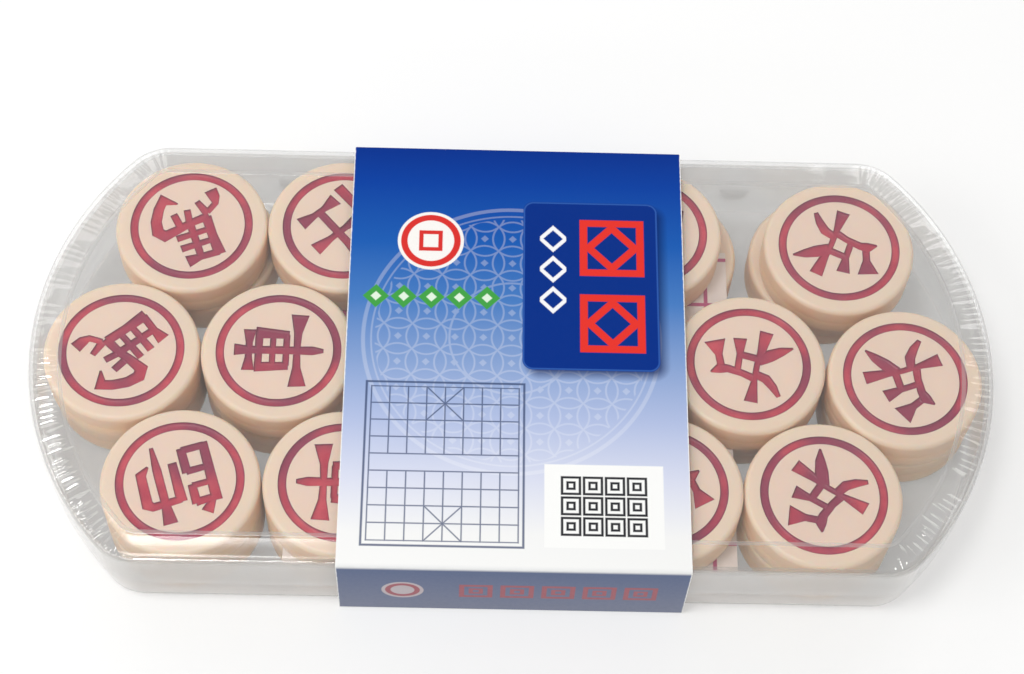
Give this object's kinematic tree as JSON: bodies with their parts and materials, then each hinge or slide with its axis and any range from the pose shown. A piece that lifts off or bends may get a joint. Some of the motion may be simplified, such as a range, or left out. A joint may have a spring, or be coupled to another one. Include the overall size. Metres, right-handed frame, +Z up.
{
  "type": "boxed xiangqi set",
  "caption": "Clear two-part case with round ends holding two layers of engraved disc game pieces, wrapped in film, with a printed card sleeve that slides off.",
  "frame": {"origin": "middle of the set's footprint, on the surface that the sleeve's underside rests on", "axes": "+X along the case's length, +Y to its back, +Z up through the lid"},
  "size_m": [0.2168, 0.106, 0.0241],
  "materials": {
    "case_plastic": "gloss",
    "film": "polished",
    "card": "gloss",
    "sheet": "satin",
    "piece_plastic": "satin"
  },
  "bodies": {
    "boxed_set": {"case_base": "case_plastic", "case_lid": "case_plastic", "shrink_film": "film", "folded_board": "sheet", "red_horse_1": "piece_plastic", "red_chariot_1": "piece_plastic", "red_elephant_1": "piece_plastic", "red_chariot_2": "piece_plastic", "red_soldier_1": "piece_plastic", "red_soldier_2": "piece_plastic", "red_horse_2": "piece_plastic", "red_advisor_1": "piece_plastic", "red_cannon_1": "piece_plastic", "red_cannon_2": "piece_plastic", "red_soldier_3": "piece_plastic", "red_general": "piece_plastic", "red_advisor_2": "piece_plastic", "red_elephant_2": "piece_plastic", "red_soldier_4": "piece_plastic", "red_soldier_5": "piece_plastic", "black_horse_1": "piece_plastic", "black_soldier_1": "piece_plastic", "black_chariot_1": "piece_plastic", "black_cannon_1": "piece_plastic", "black_elephant_1": "piece_plastic", "black_general": "piece_plastic", "black_soldier_2": "piece_plastic", "black_soldier_3": "piece_plastic", "black_advisor_1": "piece_plastic", "black_soldier_4": "piece_plastic", "black_horse_2": "piece_plastic", "black_soldier_5": "piece_plastic", "black_elephant_2": "piece_plastic", "black_cannon_2": "piece_plastic", "black_advisor_2": "piece_plastic", "black_chariot_2": "piece_plastic"},
    "sleeve": {"card_sleeve": "card"}
  },
  "joints": [
    {"name": "sleeve_slide", "type": "slide", "parent": "boxed_set", "child": "sleeve", "axis": [1, 0, 0], "range_m": [-0.15, 0.15]}
  ]
}
